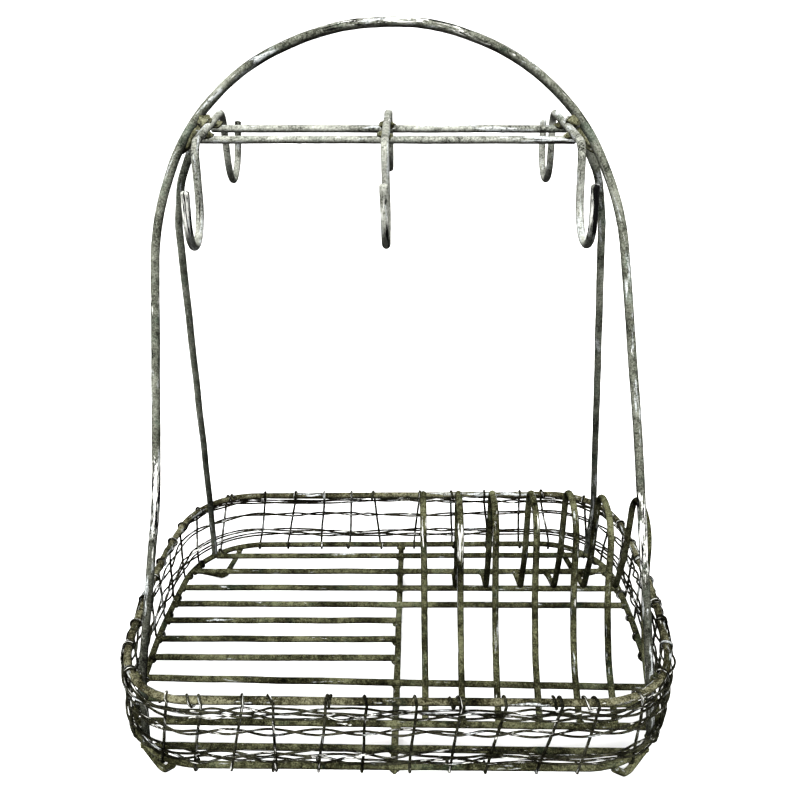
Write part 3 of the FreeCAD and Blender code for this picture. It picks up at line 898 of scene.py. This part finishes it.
weld_group("welds_rods_ring", "basket_wire", pairs(rods, ["bottom_ring"]), 61,
           plump=(1.15, 1.50, 1.35))
weld_group("welds_rods_bar", "basket_wire", pairs(rods, ["centre_bar"]), 62,
           plump=(0.90, 1.45, 1.30))
weld_group("welds_bar_ring", "basket_wire", [("centre_bar", "bottom_ring")], 63,
           plump=(1.30, 1.60, 1.50))
weld_group("welds_dividers", "basket_wire", pairs(dividers, rods), 64, plump=(1.05, 1.40, 1.30))
weld_group("welds_legs_tray", "basket_wire", pairs(legs, ["bottom_ring", "top_rim"]), 65,
           plump=(1.05, 1.55, 1.40))
weld_group("welds_feet", "basket_wire", pairs(feet, ["bottom_ring"]), 66, plump=(0.90, 1.40, 1.25))
weld_group("welds_hook_bars", "weld", pairs(hooks, bars), 67, plump=(1.00, 1.70, 2.10))
weld_group("welds_handle", "weld", pairs(rear_legs, ["arch_handle"]), 68, gap=4.0 * MM,
           plump=(1.20, 4.40, 1.90))
weld_group("welds_handle_hooks", "weld", pairs(hooks, legs), 69, gap=8.0 * MM,
           plump=(1.40, 2.40, 1.90))

# ---------------------------------------------------------------- upright stays of the wall

STAY_STEP = 0.7 * MM
STAY_SIDES = 10
STAY_LUMP = 0.07
STAY_WOBBLE = 0.25 * MM
WRAP_CLEARANCE = 0.05 * MM
# Where the stays are wound, whether they go over it first (1) or under (-1), and the chance that
# they go round more than once.
WRAPS = (("bottom_ring", -1, 0.15), ("top_rim", 1, 0.3))
# The fewest and the most turns of a wrap that goes round more than once, and of any other.
LONG_TURNS = (1.25, 1.45)
SHORT_TURNS = (0.58, 0.85)
# How far wraps stray in one turn, in millimetres: mean and spread, then the same at the front rim.
SLANT = (0.0, 3.0)
FRONT_RIM_SLANT = (6.5, 3.5)
# A wrap that goes round more than once strays at least this far, so that it clears itself.
LEAST_LONG_SLANT = 2.6 * MM
# The spread of the two bends between the wraps: a bow, and a bend to and fro.
BOW = 0.6 * MM
SWERVE = 0.4 * MM
# A wrap's radius swells and shrinks by this share, this many times in a turn.
WRAP_SWELL = 0.04
WRAP_SWELLS = 1.3
# A wrap's run is turned away from this, so it points to the left or, on a short side, to the front.
RUN_AWAY_FROM = (1.0, 0.4, 0.0)
HORIZONTAL = (1, 1, 0)
# The wall's wires are drawn this much thicker than their CAD solids, which look too thin.
STAY_THICKENING = 1.12
STRAND_THICKENING = 1.25


def nearest_on(line, point):
    """Number of the line's point that is nearest to a point."""
    return int(np.argmin(np.linalg.norm(line - point, axis=1)))


def wrap(line, spot, radius, upside, turns, slant):
    """A helix round the ring or rim: from the wall's outside over or under it and on round.

    upside is 1 where the wire goes over first and -1 where it goes under. slant is how far it
    strays to the left or the front in one turn.
    """
    run = unit(line[(spot + 2) % len(line)] - line[spot - 2])
    if run @ RUN_AWAY_FROM > 0:
        run = -run
    outward = np.cross(run, (0.0, 0.0, 1.0))
    if outward @ (line[spot] * HORIZONTAL) < 0:
        outward = -outward
    angles = np.arange(0.0, turns * 2 * math.pi, STAY_STEP / radius)
    grown = radius * (1 + WRAP_SWELL * np.sin(angles * WRAP_SWELLS + spot))
    return (
        line[spot]
        + outward * (grown * np.cos(angles))[:, None]
        + np.array((0.0, 0.0, upside)) * (grown * np.sin(angles))[:, None]
        + run * (slant * angles / (2 * math.pi))[:, None]
    )


def stay_line(cad_line, front, rng):
    """One stay: wound round the ring, up the wall's outside, wound round the rim."""
    parts = []
    for name, upside, long_chance in WRAPS:
        line = lines[name]
        end = np.argmax(upside * cad_line[:, 2])
        radius = wire_radius(name) + wire_radius("wall_stays") + WRAP_CLEARANCE
        is_long = rng.uniform() < long_chance
        turns = rng.uniform(*LONG_TURNS) if is_long else rng.uniform(*SHORT_TURNS)
        slant = rng.normal(*SLANT) * MM
        if front and upside > 0:
            slant = rng.normal(*FRONT_RIM_SLANT) * MM
        if is_long:
            slant = math.copysign(max(abs(slant), LEAST_LONG_SLANT), slant)
        parts.append(wrap(line, nearest_on(line, cad_line[end]), radius, upside, turns, slant))
    below, above = parts
    start, finish = below[0], above[0]
    count = int(np.linalg.norm(finish - start) / STAY_STEP)
    share = (np.arange(1, count) / count)[:, None]
    body = start + (finish - start) * share
    sideways = unit(np.cross(finish - start, start * HORIZONTAL))
    body = body + np.sin(math.pi * share) * rng.normal(0, BOW) * sideways
    body = body + np.sin(2 * math.pi * share) * rng.normal(0, SWERVE) * sideways
    return np.vstack([below[::-1], body, above])


WALL_SEED = 2024
rng = np.random.default_rng(WALL_SEED)
stay_lines = []
for wall in ("front", "rear", "left", "right"):
    node = "wall_stays_" + wall
    shape = RoughShape(seed=len(wall) * 997)
    for cad_line in centrelines(node, STAY_STEP):
        line = stay_line(cad_line, wall == "front", rng)
        stay_lines.append(line)
        shape.tube(line, STAY_THICKENING * wire_radius(node), STAY_SIDES, lump=STAY_LUMP,
                   wobble=STAY_WOBBLE)
    shape.build(node + "_worn", [node], materials["wall_wire"])

# ---------------------------------------------------------------- twined strands of the wall

STRAND_STEP = 1.5 * MM
STRAND_SIDES = 8
STRAND_LUMP = 0.08
TWIST_ALLOWANCE = 0.25 * MM
# At three stays in four the two strands change sides.
TWISTS = (0, 1, 1, 1)
# The spread of how early or late they change sides, as a share of one change.
TWIST_SPREAD = 0.20
# Half the least and the greatest height between the two strands of a pair.
HALF_HEIGHTS = (0.4 * MM, 2.6 * MM)
# The strands of a pair lie closer together behind these depths: from where, fully where, how much.
CLOSER_BEHIND = (0.05, 0.13)
CLOSER_BY = 0.72
# How far a pair strays up and down, and each strand besides, with their shortest and longest waves.
PAIR_DRIFT = (1.7 * MM, 70 * MM, 260 * MM)
OWN_DRIFT = (1.7 * MM, 34 * MM, 130 * MM)
# The strands stay this far above the ring's middle and below the rim's.
STRAND_FLOOR = lines["bottom_ring"][0, 2] + 4.2 * MM
STRAND_CEILING = lines["top_rim"][0, 2] - 4.4 * MM
PAIR_COUNT = 5
# A strand's seed is its height in micrometres.
SEEDS_PER_METRE = 1e6


def crossings(loop):
    """Where the stays cross a loop, as distances along it, in order."""
    run = np.r_[0, np.cumsum(np.linalg.norm(np.diff(loop, axis=0), axis=1))]
    height = loop[0, 2]
    found = []
    for line in stay_lines:
        level = line[np.argmin(np.abs(line[:, 2] - height))]
        found.append(run[nearest_on(loop, level)])
    return np.sort(found), run


def twined_pair(inner, outer, rng):
    """Two strands that change sides of the wall at most of the stays, as twined by hand."""
    loop = (inner + outer[[nearest_on(outer, point) for point in inner]]) / 2
    marks, run = crossings(loop)
    total = run[-1] + np.linalg.norm(loop[0] - loop[-1])
    twists = rng.choice(TWISTS, len(marks))
    if twists.sum() % 2:
        twists[0] += 1
    steps = np.r_[0, np.cumsum(twists)]
    marks = np.r_[marks, marks[0] + total]
    ahead = np.where(run < marks[0], run + total, run)
    early = rng.normal(0.0, TWIST_SPREAD, len(marks))
    early[-1] = early[0]
    phase = math.pi * np.interp(ahead, marks, steps + early)
    spreads = rng.uniform(*HALF_HEIGHTS, len(marks))
    spreads[-1] = spreads[0]
    closeness = 1 - CLOSER_BY * ease(loop[:, 1], *CLOSER_BEHIND)
    spread = np.interp(ahead, marks, spreads) * closeness
    out = wire_radius("wall_stays") + wire_radius("strand") + TWIST_ALLOWANCE
    ways, _, _ = line_frames(loop, closed=True)
    outward = np.cross(ways, (0.0, 0.0, 1.0))
    outward *= np.sign((outward * loop).sum(axis=1))[:, None]
    seed = int(loop[0, 2] * SEEDS_PER_METRE)
    height, *waves = PAIR_DRIFT
    drift = height * ripple(loop, *waves, seed)
    height, *waves = OWN_DRIFT
    strands = []
    for sign in (1, -1):
        own = height * closeness * ripple(loop, *waves, seed + 5 + sign)
        line = loop + outward * (sign * out * np.cos(phase))[:, None]
        line[:, 2] += sign * spread * np.sin(phase) + drift + own
        line[:, 2] = np.clip(line[:, 2], STRAND_FLOOR, STRAND_CEILING)
        strands.append(line)
    return strands


for number in range(1, PAIR_COUNT + 1):
    inner_node, outer_node = f"strand_{number}_inner", f"strand_{number}_outer"
    inner = centrelines(inner_node, STRAND_STEP)[0]
    outer = centrelines(outer_node, STRAND_STEP)[0]
    for node, line in zip((inner_node, outer_node), twined_pair(inner, outer, rng)):
        shape = RoughShape(seed=int(line[0, 2] * SEEDS_PER_METRE))
        shape.tube(line, STRAND_THICKENING * wire_radius(node), STRAND_SIDES, closed=True,
                   lump=STRAND_LUMP)
        shape.build(node + "_worn", [node], materials["wall_wire"])

# ---------------------------------------------------------------- floor, lights and camera

# Radii of the cove's flat floor, and then of the bend, and the height of its wall.
COVE_FLOOR = (0.3, 1.0, 1.8)
COVE_BEND = 0.9
COVE_TOP = 3.2
COVE_BEND_STEPS = 16
COVE_STEPS = 96
# The paint's noise: patches to a metre, then the level and the colour of its two tones.
PAINT_SCALE = 2.5
PAINT_STOPS = ((0.3, (0.80, 0.80, 0.795)), (0.7, (0.83, 0.83, 0.825)))


def cove_profile():
    """Radius and height of each ring of the cove."""
    profile = [(radius, 0.0) for radius in COVE_FLOOR]
    for step in range(1, COVE_BEND_STEPS + 1):
        angle = math.pi / 2 * step / COVE_BEND_STEPS
        profile.append((
            COVE_FLOOR[-1] + COVE_BEND * math.sin(angle),
            COVE_BEND * (1 - math.cos(angle)),
        ))
    profile.append((COVE_FLOOR[-1] + COVE_BEND, COVE_TOP))
    return profile


def studio_paint():
    """A pale matt paint with a faint unevenness."""
    shader = Shader("studio_paint")
    place = shader.node("ShaderNodeTexCoord").outputs["Object"]
    paint = shader.ramp(shader.noise(place, PAINT_SCALE, detail=3), PAINT_STOPS)
    shader.feed(shader.surface.inputs["Base Color"], paint)
    shader.surface.inputs["Roughness"].default_value = 0.9
    shader.surface.inputs["Specular IOR Level"].default_value = 0.1
    return shader.material


def studio_cove():
    """A round pale floor that curves up into a wall on every side."""
    cove = bmesh.new()
    middle = cove.verts.new((0, 0, 0))
    angles = [2 * math.pi * step / COVE_STEPS for step in range(COVE_STEPS)]
    rings = [
        [cove.verts.new((radius * math.cos(a), radius * math.sin(a), height)) for a in angles]
        for radius, height in cove_profile()
    ]
    for step in range(COVE_STEPS):
        beside = (step + 1) % COVE_STEPS
        cove.faces.new((middle, rings[0][step], rings[0][beside]))
        for below, above in zip(rings, rings[1:]):
            cove.faces.new((below[step], above[step], above[beside], below[beside]))
    mesh = bpy.data.meshes.new("studio_floor")
    cove.to_mesh(mesh)
    cove.free()
    mesh.shade_smooth()
    mesh.materials.append(studio_paint())
    floor = bpy.data.objects.new("studio_floor", mesh)
    bpy.context.scene.collection.objects.link(floor)


# Each light: where it hangs, the point that it faces, its width and its power in watts.
LIGHTS = {
    "overhead_light": ((-0.2, -0.4, 2.6), (0, 0, 0), 2.2, 75),
    "front_light": ((-0.25, -1.9, 1.35), (0, 0, 0.20), 0.8, 92),
    "rear_light": ((0.7, 1.8, 1.5), (0, 0, 0.20), 1.4, 62),
}
WORLD_COLOUR = (1.0, 1.0, 0.985, 1.0)
WORLD_STRENGTH = 0.32


def area_light(name, place, target, width, power):
    """A square soft light that faces a point."""
    light = bpy.data.lights.new(name, "AREA")
    light.shape = "SQUARE"
    light.size = width
    light.energy = power
    lamp = bpy.data.objects.new(name, light)
    lamp.location = place
    lamp.rotation_mode = "QUATERNION"
    lamp.rotation_quaternion = (Vector(target) - Vector(place)).to_track_quat("-Z", "Y")
    bpy.context.scene.collection.objects.link(lamp)


def soft_world():
    """An even light from every side."""
    world = bpy.data.worlds.new("studio_world")
    world.use_nodes = True
    background = world.node_tree.nodes["Background"]
    background.inputs["Color"].default_value = WORLD_COLOUR
    background.inputs["Strength"].default_value = WORLD_STRENGTH
    bpy.context.scene.world = world


# Where the camera stands, in the frame's axes, and how it is held, in radians.
CAMERA_PLACE = Vector((0.02825, -0.63147, 0.57656))
CAMERA_YAW = 0.05011
CAMERA_PITCH = 0.44766
CAMERA_ROLL = -0.03226
SENSOR_WIDTH = 36.0
# The focal length in sensor widths, and the shift across and up in the same measure.
FOCAL_WIDTHS = 1.0594
CAMERA_SHIFT = (0.01795, 0.00096)


def studio_camera():
    """The camera, turned to its yaw and pitch and then rolled about its aim."""
    aim = Vector((
        -math.sin(CAMERA_YAW) * math.cos(CAMERA_PITCH),
        math.cos(CAMERA_YAW) * math.cos(CAMERA_PITCH),
        -math.sin(CAMERA_PITCH),
    ))
    level = Vector((math.cos(CAMERA_YAW), math.sin(CAMERA_YAW), 0.0))
    above = level.cross(aim)
    right = level * math.cos(CAMERA_ROLL) + above * math.sin(CAMERA_ROLL)
    upward = above * math.cos(CAMERA_ROLL) - level * math.sin(CAMERA_ROLL)
    turn = Matrix((right, upward, -aim)).transposed().to_4x4()
    lens = bpy.data.cameras.new("studio_camera")
    lens.sensor_width = SENSOR_WIDTH
    lens.lens = SENSOR_WIDTH * FOCAL_WIDTHS
    lens.shift_x, lens.shift_y = CAMERA_SHIFT
    lens.clip_start = 0.01
    camera = bpy.data.objects.new("studio_camera", lens)
    camera.matrix_world = Matrix.Translation(CAMERA_PLACE) @ turn
    bpy.context.scene.collection.objects.link(camera)
    bpy.context.scene.camera = camera


studio_cove()
soft_world()
for name, (place, target, width, power) in LIGHTS.items():
    area_light(name, place, target, width, power)
studio_camera()
bpy.context.scene.view_settings.view_transform = "Standard"
